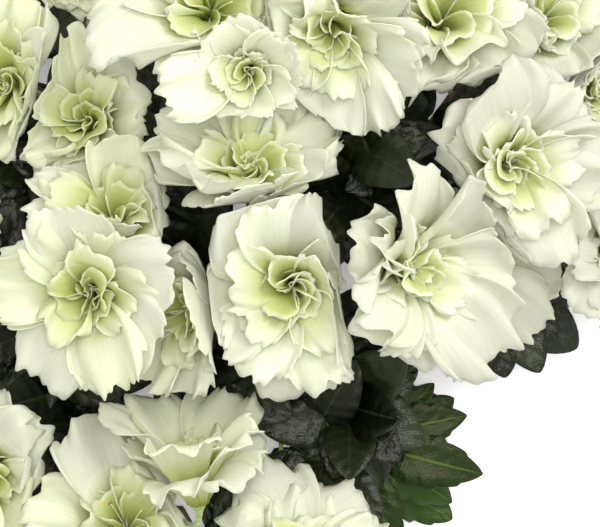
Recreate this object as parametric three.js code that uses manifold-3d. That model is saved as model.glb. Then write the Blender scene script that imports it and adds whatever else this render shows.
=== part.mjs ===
// A flowering branch of a white double azalea, cut from the shrub and laid on its side, in millimetres.
// +Z is up and the branch rests on Z = 0. +X is to the right and +Y to the top as one looks down on it.
// The woody main stem comes in from the lower left, where it was cut, and forks into thirteen boughs.
// Each bough ends in a leafy shoot, and the double flowers stand above the shoots on their stalks.
import * as THREE from "three";
import { mergeGeometries, mergeVertices } from "three/addons/utils/BufferGeometryUtils.js";
import Module from "manifold-3d";

const wasm = await Module();
wasm.setup();

const { Vector3 } = THREE;
const UP = new Vector3(0, 0, 1);
const radians = THREE.MathUtils.degToRad;

// Driving dimensions
const BOX_CENTRE = [-6.1, -6.4]; // of the branch as drawn here, which moves to the origin at the end
const CLEARANCE = 0.3; // between pieces that meet
const BEAD_RADIUS = 0.4;
const SMALLEST_DETAIL = 0.08; // a solid's vertices that matter less than this are merged away
const OVER_FLOOR = 0.8; // lowest a petal's or leaf's middle surface may lie
const FLOOR_BEND = 5; // a petal or leaf starts to bend along the floor at this height
const PETAL_THICKNESS = 1.1; // at its middle line
const LEAF_THICKNESS = 1.4; // at its middle

const STEM = {
  from: [-116, -128, 4.5], // centre of the cut
  towards: [-68, -86, 4.5],
  past: [2, -14, 20],
  to: [66.8, 75.7, 25],
  cutRadius: 4.5,
  tipRadius: 1.7,
};

// A bough leaves the main stem at the given share of its length and ends at tip.
const BOUGH_RADII = [2.0, 1.2];
const BOUGHS = {
  bough_lower_left: { leaves: 0.12, tip: [-104, -70, 20] },
  bough_bottom_left: { leaves: 0.2, tip: [-44, -92, 24] },
  bough_left: { leaves: 0.3, tip: [-86, -20, 26] },
  bough_bottom: { leaves: 0.33, tip: [-4, -60, 24] },
  bough_far_left: { leaves: 0.42, tip: [-97, 65, 22] },
  bough_bottom_right: { leaves: 0.45, tip: [15, -60, 14] },
  bough_upper_left: { leaves: 0.5, tip: [-68, 31, 24] },
  bough_right_fringe: { leaves: 0.55, tip: [68, 1, 14] },
  bough_centre: { leaves: 0.62, tip: [-25, 14, 30] },
  bough_right: { leaves: 0.7, tip: [58, 18, 22] },
  bough_top_left: { leaves: 0.74, tip: [-28, 74, 26] },
  bough_far_right: { leaves: 0.82, tip: [100, 44, 20] },
  bough_top: { leaves: 0.86, tip: [18, 61, 28] },
};

// Each flower: face is the middle of its open face, radius its reach, lean how far its axis tips from
// upright and toward which compass angle (0 is +X, 90 is +Y). Its stalk joins a bough at the share `at`.
// outer: how many outer petals it has, where not five. full: the share of their usual size that its inner
// petals reach, where not all. wide: outer petals with shapes of their own, as [angle, length, half width,
// opening].
const FLOWERS = [
  { face: [48, -3, 84], radius: 36, lean: 44, toward: -8, bough: "bough_right", at: 0.9, seed: 11,
    outer: 7, full: 0.75, wide: [[102, 46, 22, 90], [52, 54, 27, 86], [-2, 50, 27, 82], [-54, 56, 27, 86],
      [-110, 36, 16, 86], [148, 34, 13, 74], [206, 42, 20, 84]] },
  { face: [-3, -10, 84], radius: 35, lean: 10, toward: 270, bough: "bough_centre", at: 0.93, seed: 22,
    outer: 6, wide: [[98, 46, 25, 86], [38, 32, 16, 84], [-16, 44, 22, 92], [-66, 47, 20, 96],
      [-118, 44, 22, 94], [190, 34, 20, 88]] },
  { face: [-76, -10, 86], radius: 29, lean: 12, toward: 200, bough: "bough_left", at: 0.92, seed: 33,
    outer: 6, wide: [[178, 44, 16, 92], [-128, 22, 12, 80], [-66, 46, 20, 94], [-8, 34, 18, 88],
      [62, 32, 16, 82], [125, 38, 18, 88]] },
  { face: [-68, 20, 76], radius: 28, lean: 28, toward: 100, bough: "bough_upper_left", at: 0.88, seed: 44,
    wide: [[78, 42, 17, 78], [150, 34, 14, 82], [-25, 46, 22, 90]] },
  { face: [-79, 53, 62], radius: 26, lean: 20, toward: 150, bough: "bough_upper_left", at: 0.97, seed: 55,
    wide: [[92, 44, 11, 84]] },
  { face: [-109, 66, 58], radius: 28, lean: 24, toward: 170, bough: "bough_far_left", at: 0.95, seed: 66,
    wide: [[74, 40, 14, 86]] },
  { face: [-30, 93, 80], radius: 33, lean: 16, toward: 60, bough: "bough_top_left", at: 0.95, seed: 77,
    wide: [[217, 64, 30, 98], [300, 36, 20, 92]] },
  { face: [-19, 66, 88], radius: 20, lean: 16, toward: 250, bough: "bough_top_left", at: 0.86, seed: 88,
    wide: [[-72, 28, 14, 88], [190, 42, 18, 92]] },
  { face: [12, 78, 82], radius: 31, lean: 28, toward: 275, bough: "bough_top", at: 0.9, seed: 99,
    wide: [[-94, 54, 16, 88], [-62, 50, 16, 88], [-10, 42, 20, 92]] },
  { face: [53, 90, 72], radius: 34, lean: 16, toward: 60, bough: "main_stem", at: 0.95, seed: 110,
    wide: [[205, 56, 30, 96], [-112, 44, 22, 92], [-58, 42, 20, 92]] },
  { face: [77, 33, 78], radius: 31, lean: 20, toward: 320, bough: "bough_right", at: 0.72, seed: 121,
    wide: [[114, 56, 32, 98], [-66, 46, 24, 94], [176, 42, 22, 94], [-6, 40, 22, 94], [52, 42, 22, 94]] },
  { face: [91, 90, 58], radius: 29, lean: 20, toward: 30, bough: "main_stem", at: 0.985, seed: 132,
    wide: [[-98, 48, 24, 94], [-152, 44, 20, 92]] },
  { face: [111, 62, 54], radius: 27, lean: 24, toward: 0, bough: "bough_far_right", at: 0.96, seed: 143,
    wide: [[-112, 42, 16, 92], [180, 44, 22, 94]] },
  { face: [64, -3, 46], radius: 32, lean: 28, toward: -38, bough: "bough_right", at: 0.97, seed: 154,
    full: 0.8, wide: [[0, 48, 26, 98], [-45, 46, 22, 98]] },
  { face: [-39, -67, 66], radius: 27, lean: 70, toward: 97, bough: "bough_bottom_left", at: 0.9, seed: 165,
    full: 0.9, wide: [[-90, 44, 22, 42], [-20, 40, 16, 54], [185, 54, 20, 84], [60, 44, 20, 70],
      [130, 44, 20, 76]] },
  { face: [-62, -90, 70], radius: 31, lean: 30, toward: 92, bough: "bough_bottom_left", at: 0.78, seed: 176,
    wide: [[175, 46, 20, 92], [112, 52, 24, 92], [48, 40, 18, 90]] },
  { face: [0, -108, 66], radius: 35, lean: 30, toward: 82, bough: "bough_bottom", at: 0.95, seed: 187,
    wide: [[22, 42, 20, 94], [148, 50, 22, 92], [85, 38, 22, 84]] },
  { face: [-118, -76, 58], radius: 28, lean: 18, toward: 180, bough: "bough_lower_left", at: 0.96, seed: 198,
    wide: [[26, 54, 24, 88]] },
  { face: [-44, -17, 74], radius: 30, lean: 36, toward: 195, bough: "bough_centre", at: 0.82, seed: 209,
    full: 0.85, wide: [[150, 40, 13, 92], [198, 42, 15, 92], [250, 42, 15, 90]] },
  { face: [-18, 39, 78], radius: 34, lean: 32, toward: 95, bough: "bough_centre", at: 0.98, seed: 220,
    full: 0.9, wide: [[82, 48, 24, 84], [30, 40, 18, 86], [150, 46, 22, 92], [214, 56, 26, 94],
      [282, 46, 24, 92]] },
  { face: [119, 5, 46], radius: 23, lean: 28, toward: 0, bough: "bough_far_right", at: 0.84, seed: 231,
    wide: [] },
  { face: [-132, 14, 50], radius: 22, lean: 24, toward: 180, bough: "bough_left", at: 0.97, seed: 242,
    wide: [] },
  { face: [-82, 109, 50], radius: 22, lean: 24, toward: 110, bough: "bough_far_left", at: 0.86, seed: 253,
    wide: [] },
  { face: [-97, -104, 46], radius: 22, lean: 28, toward: 230, bough: "bough_lower_left", at: 0.84, seed: 264,
    wide: [] },
];

// A flower's rings of petals, outermost first. Opening is the angle from the flower's axis, at root and
// rim. Each petal tucks one side edge under its neighbour and lays the other over it. Lengths are shares
// of the flower's radius. Chance is how far petals stray from even places, lengths and openings. Steps are
// a petal's divisions along its length.
const RINGS = [
  { petals: 5, rootRadius: 0.145, rootOpening: 14, opening: 92, reach: 1, halfWidth: 0.88, raised: 0.06,
    tuck: 0.08, ruffle: 0.055, wrap: [0.75, 1.45], turn: 0, chance: 0.3, steps: 3 },
  { petals: 4, rootRadius: 0.08, rootOpening: 8, opening: 58, reach: 0.8, halfWidth: 0.6, raised: 0.07,
    tuck: 0.05, ruffle: 0.055, wrap: [0.7, 1.15], turn: 40, chance: 0.55, steps: 2 },
];
const RIM_ROUNDING = 0.15; // how much shorter a petal is at its sides
const WIDTH_CURVE = [0.06, 0.66]; // a petal's width follows this stretch of a half sine wave
const RECEPTACLE = { topRadius: 0.2, footRadius: 0.07, height: 0.16, cover: 0.035 };
const STALK_RADII = [0.9, 1.3];
const WALL_SOFTNESS = 4; // a petal starts to bend away this far from a neighbour
const WALL_GAP = 0.7; // and its middle surface comes no nearer than this
const WALL_TILT = 0.55; // how much a wall leans out over the lower of its two flowers
const FULL_TILT_DISTANCE = 60; // between flowers, and walls between closer ones lean less
const WALL_RANGE = [0.25, 0.75]; // of the way to the other flower, where a wall may stand
const NEIGHBOURS = 1.9; // flowers within this many of their two radii share a wall

// Leafy shoots: each leaves its bough at the share `at`, aims at a compass angle and rises by pitch.
// size: how much larger its leaves are, where they are.
const TWIG_RADII = [1.0, 0.5];
const SIDE_TWIGS = [
  { turn: 55, leaves: 0.45 },
  { turn: -50, leaves: 0.7 },
]; // degrees from the leader's aim, and the share of its length where each leaves it
const SIDE_TWIG_LENGTH = 0.55; // of the leader's
const LEAF = { length: 32, halfWidth: 9.4, widest: 0.54, droop: 34, fold: 0.2 };
const LEAFY_SHARE = 0.72; // of a twig's length, from its tip
const SPREAD = { atTip: 30, more: 42, chance: 14 }; // degrees between a leaf and its twig
const FLATTENING = { above: 0.6, below: 0.25 }; // of a leaf's rise from the twig, for it faces the light
const SHOOTS = {
  leaves_far_left: { bough: "bough_far_left", at: 1, aim: 150, pitch: -22,
    length: 26, leaves: 9, seed: 5 },
  leaves_top_left: { bough: "bough_top_left", at: 1, aim: 215, pitch: -12,
    length: 24, leaves: 9, seed: 15 },
  leaves_left_edge: { bough: "bough_far_left", at: 0.85, aim: 203, pitch: 12,
    length: 22, leaves: 9, seed: 25 },
  leaves_left: { bough: "bough_left", at: 1, aim: 200, pitch: -8,
    length: 22, leaves: 9, seed: 35 },
  leaves_inner_left: { bough: "bough_upper_left", at: 0.55, aim: 110, pitch: 24,
    length: 14, leaves: 9, seed: 45 },
  leaves_upper_left: { bough: "bough_upper_left", at: 1, aim: 135, pitch: 5,
    length: 16, leaves: 9, seed: 51 },
  leaves_centre: { bough: "main_stem", at: 0.8, aim: 140, pitch: 42,
    length: 26, leaves: 8, seed: 55 },
  leaves_upper_right: { bough: "main_stem", at: 0.92, aim: 250, pitch: 34,
    length: 16, leaves: 9, seed: 65 },
  leaves_upper_middle: { bough: "bough_top", at: 1, aim: 105, pitch: 0,
    length: 18, leaves: 9, seed: 71 },
  leaves_lower_left: { bough: "bough_left", at: 0.5, aim: 165, pitch: 24,
    length: 20, leaves: 9, seed: 75 },
  leaves_lower_middle: { bough: "bough_far_left", at: 0.18, aim: 40, pitch: 42,
    length: 16, leaves: 8, seed: 85 },
  leaves_right: { bough: "bough_right", at: 1, aim: 15, pitch: 0,
    length: 18, leaves: 9, seed: 91 },
  leaves_right_fringe: { bough: "bough_right_fringe", at: 1, aim: -58, pitch: 0,
    length: 14, leaves: 9, seed: 95 },
  leaves_lower_right: { bough: "bough_bottom_right", at: 0.8, aim: 25, pitch: 30,
    length: 20, leaves: 9, seed: 105 },
  leaves_bottom: { bough: "bough_bottom", at: 1, aim: -30, pitch: 12,
    length: 20, leaves: 9, seed: 117 },
  leaves_bottom_right: { bough: "bough_bottom_right", at: 1, aim: -62, pitch: -6,
    length: 20, leaves: 6, size: 1.3, seed: 125 },
  leaves_far_right: { bough: "bough_far_right", at: 1, aim: -20, pitch: -8,
    length: 14, leaves: 9, seed: 135 },
  leaves_bottom_left: { bough: "bough_lower_left", at: 1, aim: 190, pitch: -12,
    length: 20, leaves: 8, seed: 145 },
  leaves_stem_side: { bough: "bough_bottom_left", at: 1, aim: -60, pitch: -15,
    length: 24, leaves: 9, seed: 155 },
  leaves_top: { bough: "main_stem", at: 1, aim: 55, pitch: -18,
    length: 24, leaves: 9, seed: 165 },
};

// The same draws come back for the same seed.
function randomFrom(seed) {
  let state = (seed * 7919 + 104729) >>> 0;
  const next = () => {
    state = (Math.imul(state, 1664525) + 1013904223) >>> 0;
    return state / 4294967296;
  };
  next();
  next();
  return next;
}

// Closed solids

// A manifold solid from a closed three.js geometry.
function solidFrom(geometry) {
  const bare = geometry.clone();
  bare.deleteAttribute("normal");
  bare.deleteAttribute("uv");
  const merged = mergeVertices(bare, 1e-3);
  return new wasm.Manifold(
    new wasm.Mesh({
      numProp: 3,
      vertProperties: new Float32Array(merged.attributes.position.array),
      triVerts: new Uint32Array(merged.index.array),
    }),
  );
}

// A three.js geometry from a manifold solid.
function geometryFrom(solid) {
  const mesh = solid.getMesh();
  const geometry = new THREE.BufferGeometry();
  geometry.setAttribute("position", new THREE.BufferAttribute(mesh.vertProperties, 3));
  geometry.setIndex(new THREE.BufferAttribute(mesh.triVerts, 1));
  geometry.computeVertexNormals();
  return geometry;
}

// Moves every vertex of a geometry to where place(x, y, z) says.
function reshape(geometry, place) {
  const position = geometry.attributes.position;
  for (let i = 0; i < position.count; i++) {
    const p = place(position.getX(i), position.getY(i), position.getZ(i));
    position.setXYZ(i, p.x, p.y, p.z);
  }
  return geometry;
}

// A flat blade of two faces that meet at their rim: x runs from -1 to 1, y from 0 to 1, and z is 1 on the
// upper face, -1 on the lower and 0 at the rim. Both faces are divided alike, so they never cross.
function bladeGeometry(acrossSteps, alongSteps) {
  const faces = [1, -1].map((side) => {
    const face = new THREE.PlaneGeometry(2, 1, acrossSteps, alongSteps).translate(0, 0.5, 0);
    const isInner = (x, y) => Math.abs(x) < 0.999 && y > 0.001 && y < 0.999;
    if (side < 0) face.index.array.reverse();
    return reshape(face, (x, y) => new Vector3(x, y, isInner(x, y) ? side : 0));
  });
  return mergeGeometries(faces);
}

// The one body that holds most of the volume: cutting can leave loose scraps.
function largestBody(solid) {
  const bodies = solid.decompose();
  return bodies.reduce((best, body) => (body.volume() > best.volume() ? body : best), bodies[0]);
}

// The middles of the edges where more than two faces meet once close vertices are taken as one.
function pinchesOf(solid) {
  const geometry = geometryFrom(solid);
  const { position } = geometry.attributes;
  const corners = geometry.index.array;
  const points = new Map();
  const uses = new Map();
  const key = (i) => {
    const point = new Vector3().fromBufferAttribute(position, i);
    const name = point.toArray().map((value) => Math.round(value * 1000)).join();
    points.set(name, point);
    return name;
  };
  for (let i = 0; i < corners.length; i += 3) {
    const names = [0, 1, 2].map((k) => key(corners[i + k]));
    names.forEach((name, k) => {
      const edge = [name, names[(k + 1) % 3]].sort().join("/");
      uses.set(edge, (uses.get(edge) ?? 0) + 1);
    });
  }
  return [...uses]
    .map(([edge, count]) => [edge.split("/").map((name) => points.get(name)), count])
    .filter(([[from, to], count]) => from !== to && count > 2)
    .map(([[from, to]]) => from.clone().lerp(to, 0.5));
}

// The largest body, rid of slivers, with a bead wherever two of its sheets only touch.
function finished(solid) {
  let body = largestBody(solid).simplify(SMALLEST_DETAIL);
  for (let round = 0; round < 3; round++) {
    body = largestBody(solidFrom(geometryFrom(body)));
    for (const pinch of pinchesOf(body)) {
      const bead = new THREE.OctahedronGeometry(BEAD_RADIUS).translate(pinch.x, pinch.y, pinch.z);
      body = body.add(solidFrom(bead));
    }
  }
  return body;
}

const joinAll = (solids) => solids.reduce((whole, solid) => whole.add(solid));

function touches(a, b) {
  const boxA = a.boundingBox();
  const boxB = b.boundingBox();
  const apart = [0, 1, 2].some((k) => boxA.min[k] > boxB.max[k] || boxB.min[k] > boxA.max[k]);
  return !apart && a.intersect(b).volume() > 1e-4;
}

// Limbs

// A tapering limb along a curve. grow widens it all round and lengthens it at both ends.
function limb(curve, radii, sides, steps, grow = 0) {
  const frames = curve.computeFrenetFrames(steps, false);
  const geometry = new THREE.CylinderGeometry(1, 1, 1, sides, steps);
  return reshape(geometry, (x, y, z) => {
    const i = Math.round((y + 0.5) * steps);
    const share = i / steps;
    const radius = THREE.MathUtils.lerp(radii[0], radii[1], share) + grow;
    const point = curve.getPoint(share);
    if (i === 0) point.addScaledVector(frames.tangents[i], -grow);
    if (i === steps) point.addScaledVector(frames.tangents[i], grow);
    return point
      .addScaledVector(frames.normals[i], x * radius)
      .addScaledVector(frames.binormals[i], -z * radius);
  });
}

// A curve that leaves `from` along `heading` and ends at `to`.
function bend(from, heading, to) {
  const reach = from.distanceTo(to) * 0.45;
  const middle = from.clone().addScaledVector(heading, reach);
  middle.z = (from.z + to.z) / 2;
  return new THREE.QuadraticBezierCurve3(from, middle, to);
}

const stemCurve = new THREE.CubicBezierCurve3(
  new Vector3(...STEM.from),
  new Vector3(...STEM.towards),
  new Vector3(...STEM.past),
  new Vector3(...STEM.to),
);
const limbCurves = { main_stem: stemCurve };
for (const [name, bough] of Object.entries(BOUGHS)) {
  const from = stemCurve.getPoint(bough.leaves);
  const to = new Vector3(...bough.tip);
  const heading = stemCurve.getTangent(bough.leaves).lerp(to.clone().sub(from).normalize(), 0.55);
  limbCurves[name] = bend(from, heading, to);
}

const STEM_STEPS = 12;
const BOUGH_STEPS = 5;
const stemRadii = [STEM.cutRadius, STEM.tipRadius];
const stemSolid = solidFrom(limb(stemCurve, stemRadii, 8, STEM_STEPS));
const stemSpace = solidFrom(limb(stemCurve, stemRadii, 8, STEM_STEPS, CLEARANCE));

const solids = { main_stem: stemSolid };
let limbSpace = stemSpace;
for (const name of Object.keys(BOUGHS)) {
  const curve = limbCurves[name];
  const whole = solidFrom(limb(curve, BOUGH_RADII, 5, BOUGH_STEPS));
  solids[name] = finished(whole.subtract(limbSpace));
  limbSpace = limbSpace.add(solidFrom(limb(curve, BOUGH_RADII, 5, BOUGH_STEPS, CLEARANCE)));
}

// Flowers

// A petal's length and a corolla's depth, as shares of the flower's radius, from how petals open.
const [ROOT_OPENING, FULL_OPENING] = [RINGS[0].rootOpening, RINGS[0].opening].map(radians);
const FULL_SWING = FULL_OPENING - ROOT_OPENING;
const PETAL_LENGTH = FULL_SWING / (Math.cos(ROOT_OPENING) - Math.cos(FULL_OPENING));
const DEPTH = (PETAL_LENGTH * (Math.sin(FULL_OPENING) - Math.sin(ROOT_OPENING))) / FULL_SWING;

const flowers = FLOWERS.map((row) => {
  const lean = radians(row.lean);
  const toward = radians(row.toward);
  const axis = new Vector3(
    Math.sin(lean) * Math.cos(toward),
    Math.sin(lean) * Math.sin(toward),
    Math.cos(lean),
  );
  const right = new Vector3(1, 0, 0).addScaledVector(axis, -axis.x).normalize();
  const depth = row.radius * DEPTH;
  const face = new Vector3(...row.face);
  return {
    ...row,
    axis,
    right,
    ahead: new Vector3().crossVectors(axis, right),
    base: face.clone().addScaledVector(axis, -depth),
    centre: face.clone().addScaledVector(axis, -0.4 * depth),
  };
});

// Flowers that stand close share the space between them at a flat wall, nearer to the smaller one. It
// leans, so that the higher flower's petals lie over the lower one's.
function wallsOf(flower) {
  return flowers
    .filter((other) => other !== flower)
    .map((other) => {
      const between = other.centre.clone().sub(flower.centre);
      const distance = between.length();
      between.divideScalar(distance);
      const normal = between.clone();
      const tilt = WALL_TILT * Math.min(distance / FULL_TILT_DISTANCE, 1);
      normal.z += flower.centre.z > other.centre.z ? -tilt : tilt;
      normal.normalize();
      const share = 0.5 + (flower.radius ** 2 - other.radius ** 2) / (2 * distance ** 2);
      const along = THREE.MathUtils.clamp(share, ...WALL_RANGE) * distance;
      const point = flower.centre.clone().addScaledVector(between, along);
      return { other, normal, distance, offset: normal.dot(point) };
    })
    .filter((wall) => wall.distance < NEIGHBOURS * (flower.radius + wall.other.radius));
}
flowers.forEach((flower) => (flower.walls = wallsOf(flower)));

// Bends a point back from the walls round its flower.
function keepInside(point, walls) {
  for (let turn = 0; turn < 2; turn++) {
    for (const wall of walls) {
      const inside = wall.offset - wall.normal.dot(point);
      if (inside >= WALL_SOFTNESS) continue;
      const span = WALL_SOFTNESS - WALL_GAP;
      const kept = WALL_GAP + span * Math.exp((inside - WALL_SOFTNESS) / span);
      point.addScaledVector(wall.normal, inside - kept);
    }
  }
  return point;
}

// Bends a point up from the floor.
function overFloor(point) {
  if (point.z < FLOOR_BEND) {
    const span = FLOOR_BEND - OVER_FLOOR;
    point.z = OVER_FLOOR + span * Math.exp((point.z - FLOOR_BEND) / span);
  }
  return point;
}

// How far a petal may open towards an angle before the neighbours push it upright.
function roomTowards(flower, angle) {
  const heading = flower.right.clone().multiplyScalar(Math.cos(angle));
  heading.addScaledVector(flower.ahead, Math.sin(angle));
  let room = flower.radius * 1.25;
  for (const wall of flower.walls) {
    const slope = wall.normal.dot(heading);
    if (slope > 0.2) room = Math.min(room, (wall.offset - wall.normal.dot(flower.centre)) / slope);
  }
  return THREE.MathUtils.clamp(room / flower.radius, 0.5, 1);
}

// Every petal of a flower, ring by ring, with its own chance variations.
function petalsOf(flower) {
  const { radius } = flower;
  const random = randomFrom(flower.seed);
  const petals = [];
  for (const ring of RINGS) {
    const waves = [Math.round(15 + 6 * random()), Math.round(37 + 8 * random())];
    const phases = [6.283 * random(), 6.283 * random()];
    const isOuter = ring === RINGS[0];
    const count = (isOuter && flower.outer) || ring.petals;
    const size = radius * (isOuter ? 1 : flower.full ?? 1);
    for (let i = 0; i < count; i++) {
      const even = ring.turn + flower.seed * 17 + (360 / count) * (i + ring.chance * (random() - 0.5));
      petals.push({
        ring,
        angle: radians(even % 360),
        length: size * PETAL_LENGTH * ring.reach * (1 + 0.7 * ring.chance * (random() - 0.5)),
        halfWidth: size * ring.halfWidth * (0.9 + 0.2 * random()),
        rootOpening: radians(ring.rootOpening),
        opening: radians(ring.opening + 50 * ring.chance * (random() - 0.5)),
        raised: radius * ring.raised * (0.5 + random()),
        ruffle: radius * ring.ruffle * (0.8 + 0.4 * random()),
        waves,
        phases,
      });
    }
  }
  const free = petals.filter((petal) => petal.ring === RINGS[0]);
  for (const [angle, length, halfWidth, opening] of flower.wide) {
    const offset = (petal) => Math.abs(Math.sin((petal.angle - radians(angle)) / 2));
    const nearest = free.reduce((best, petal) => (offset(petal) < offset(best) ? petal : best));
    free.splice(free.indexOf(nearest), 1);
    Object.assign(nearest, { angle: radians(angle), length, halfWidth, opening: radians(opening) });
  }
  for (const petal of petals) {
    const room = roomTowards(flower, petal.angle);
    petal.opening = petal.rootOpening + (petal.opening - petal.rootOpening) * room;
  }
  return petals;
}

// A point on a petal's middle surface: along runs 0 to 1 from root to rim, across from -1 to 1.
function petalPoint(flower, petal, along, across) {
  const { ring, rootOpening } = petal;
  const bowed = along * (1 - RIM_ROUNDING * across * across);
  const swing = petal.opening - rootOpening;
  const opening = rootOpening + swing * bowed;
  const rootRadius = ring.rootRadius * flower.radius;
  const out = rootRadius + (petal.length * (Math.cos(rootOpening) - Math.cos(opening))) / swing;
  const up = (petal.length * (Math.sin(opening) - Math.sin(rootOpening))) / swing;
  const width = petal.halfWidth * Math.sin(Math.PI * THREE.MathUtils.lerp(...WIDTH_CURVE, along));
  const early = THREE.MathUtils.clamp(along / 0.45, 0, 1);
  const most = (Math.PI / ring.petals) * THREE.MathUtils.lerp(ring.wrap[0], ring.wrap[1], early);
  const turn = petal.angle + most * Math.tanh((width * across) / (Math.max(out, 0.5) * most));
  const edge = along * along * (along * along + across * across * (1 - along * along));
  const [slow, quick] = petal.waves;
  const wave =
    edge * Math.sin(slow * turn + petal.phases[0]) +
    0.4 * edge * edge * Math.sin(quick * turn + petal.phases[1]);
  const tuck = flower.radius * ring.tuck * early * across;
  const lift = petal.raised * across * across * along + petal.ruffle * wave + tuck;
  const heading = flower.right.clone().multiplyScalar(Math.cos(turn));
  heading.addScaledVector(flower.ahead, Math.sin(turn));
  const point = flower.base
    .clone()
    .addScaledVector(heading, out - lift * Math.cos(opening))
    .addScaledVector(flower.axis, up + lift * Math.sin(opening));
  return overFloor(point.lerp(keepInside(point.clone(), flower.walls), early));
}

// A petal as a blade that is thickest along its middle and thins to its rim.
function petalSolid(flower, petal) {
  const step = 0.05;
  return solidFrom(
    reshape(bladeGeometry(2, petal.ring.steps), (across, along, face) => {
      const point = petalPoint(flower, petal, along, across);
      if (face === 0) return point;
      const over = petalPoint(flower, petal, along, across + step);
      over.sub(petalPoint(flower, petal, along, across - step));
      const onward = petalPoint(flower, petal, along + step, across);
      onward.sub(petalPoint(flower, petal, along - step, across));
      return point.addScaledVector(over.cross(onward).normalize(), (face * PETAL_THICKNESS) / 2);
    }),
  );
}

// The little cone that the petals' roots sink into.
function receptacleSolid(flower) {
  const { topRadius, footRadius, height, cover } = RECEPTACLE;
  const geometry = new THREE.CylinderGeometry(topRadius, footRadius, height, 6);
  geometry.translate(0, cover - height / 2, 0);
  geometry.scale(flower.radius, flower.radius, flower.radius);
  geometry.applyQuaternion(new THREE.Quaternion().setFromUnitVectors(new Vector3(0, 1, 0), flower.axis));
  geometry.translate(flower.base.x, flower.base.y, flower.base.z);
  return solidFrom(geometry);
}

// The stalk bends from its bough up into the receptacle.
function stalkCurve(flower) {
  const foot = limbCurves[flower.bough].getPoint(flower.at);
  const middle = flower.base.clone().addScaledVector(flower.axis, -0.45 * foot.distanceTo(flower.base));
  middle.z = Math.max(middle.z, (foot.z + flower.base.z) / 2);
  return new THREE.QuadraticBezierCurve3(foot, middle, flower.base);
}

const STALK_STEPS = 2;
let stalkSpaces = limbSpace;
flowers.forEach((flower, i) => {
  flower.name = "flower_" + String(i + 1).padStart(2, "0");
  const curve = stalkCurve(flower);
  flower.stalk = solidFrom(limb(curve, STALK_RADII, 4, STALK_STEPS)).subtract(stalkSpaces);
  flower.stalkSpace = solidFrom(limb(curve, STALK_RADII, 4, STALK_STEPS, CLEARANCE));
  stalkSpaces = stalkSpaces.add(flower.stalkSpace);
  const blades = petalsOf(flower).map((petal) => petalSolid(flower, petal));
  flower.head = joinAll([receptacleSolid(flower), ...blades]);
});

// The part of a flower's head on its own side of a wall.
function trimmed(head, wall) {
  const { x, y, z } = wall.normal;
  return head.trimByPlane([-x, -y, -z], -(wall.offset - CLEARANCE / 2));
}

for (const flower of flowers) {
  for (const wall of flower.walls.filter((each) => touches(flower.head, each.other.head))) {
    flower.head = trimmed(flower.head, wall);
    wall.other.head = trimmed(wall.other.head, wall.other.walls.find((each) => each.other === flower));
  }
}
for (const flower of flowers) {
  const otherStalks = joinAll(flowers.filter((other) => other !== flower).map((other) => other.stalkSpace));
  solids[flower.name] = finished(flower.head.subtract(limbSpace).subtract(otherStalks).add(flower.stalk));
}

// Leafy shoots

const GOLDEN_ANGLE = radians(137.5);

// A point on a leaf's middle surface: along runs 0 to 1 from its root to its tip, across from -1 to 1.
function leafPoint(leaf, along, across) {
  const droop = radians(LEAF.droop) * leaf.bend;
  const out = (leaf.length * Math.sin(droop * along)) / droop;
  const down = (leaf.length * (1 - Math.cos(droop * along))) / droop;
  const width = leaf.halfWidth * Math.max(Math.sin(Math.PI * along ** 0.85), 0) ** 0.75;
  const point = leaf.root
    .clone()
    .addScaledVector(leaf.heading, out)
    .addScaledVector(leaf.up, LEAF.fold * width * Math.abs(across) - down)
    .addScaledVector(leaf.side, width * across);
  return overFloor(point);
}

// A leaf of eight faces, widest and thickest just past its middle.
function leafSolid(leaf) {
  return solidFrom(
    reshape(new THREE.OctahedronGeometry(1), (x, y, z) => {
      const along = y === 0 ? LEAF.widest : (y + 1) / 2;
      return leafPoint(leaf, along, x).addScaledVector(leaf.up, (z * LEAF_THICKNESS) / 2);
    }),
  );
}

// The twigs of a shoot, as curves: the leader and two side twigs.
function twigsOf(shoot) {
  const foot = limbCurves[shoot.bough].getPoint(shoot.at);
  const arm = (turn, length, from) => {
    const aim = radians(shoot.aim + turn);
    const pitch = radians(shoot.pitch);
    const reach = new Vector3(
      Math.cos(aim) * Math.cos(pitch),
      Math.sin(aim) * Math.cos(pitch),
      Math.sin(pitch),
    ).multiplyScalar(length);
    const to = from.clone().add(reach);
    const middle = from.clone().lerp(to, 0.5);
    middle.z += length * 0.08;
    return new THREE.QuadraticBezierCurve3(from, middle, to);
  };
  const leader = arm(0, shoot.length, foot);
  return [
    leader,
    ...SIDE_TWIGS.map(({ turn, leaves }) =>
      arm(turn, shoot.length * SIDE_TWIG_LENGTH, leader.getPoint(leaves)),
    ),
  ];
}

// The leaves of one twig, set round it by the golden angle and crowded towards its tip.
function leavesOn(twig, shoot, count, random) {
  const leaves = [];
  for (let i = 0; i < count; i++) {
    const share = 1 - (LEAFY_SHARE * i) / count;
    const tangent = twig.getTangent(share);
    const side = new Vector3().crossVectors(UP, tangent).normalize();
    const top = new Vector3().crossVectors(tangent, side);
    const turn = GOLDEN_ANGLE * i + shoot.seed;
    const radial = side.multiplyScalar(Math.cos(turn)).addScaledVector(top, Math.sin(turn));
    const spread = radians(SPREAD.atTip + SPREAD.more * (1 - share) + SPREAD.chance * random());
    const heading = tangent.multiplyScalar(Math.cos(spread)).addScaledVector(radial, Math.sin(spread));
    heading.z *= heading.z < 0 ? FLATTENING.below : FLATTENING.above;
    heading.normalize();
    const across = new Vector3().crossVectors(heading, UP).normalize();
    const size = (0.82 + 0.3 * random()) * (shoot.size ?? 1);
    leaves.push({
      root: twig.getPoint(share),
      heading,
      side: across,
      up: new Vector3().crossVectors(across, heading),
      length: LEAF.length * size,
      halfWidth: LEAF.halfWidth * size * (0.9 + 0.2 * random()),
      bend: 0.5 + random(),
    });
  }
  return leaves;
}

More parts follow.
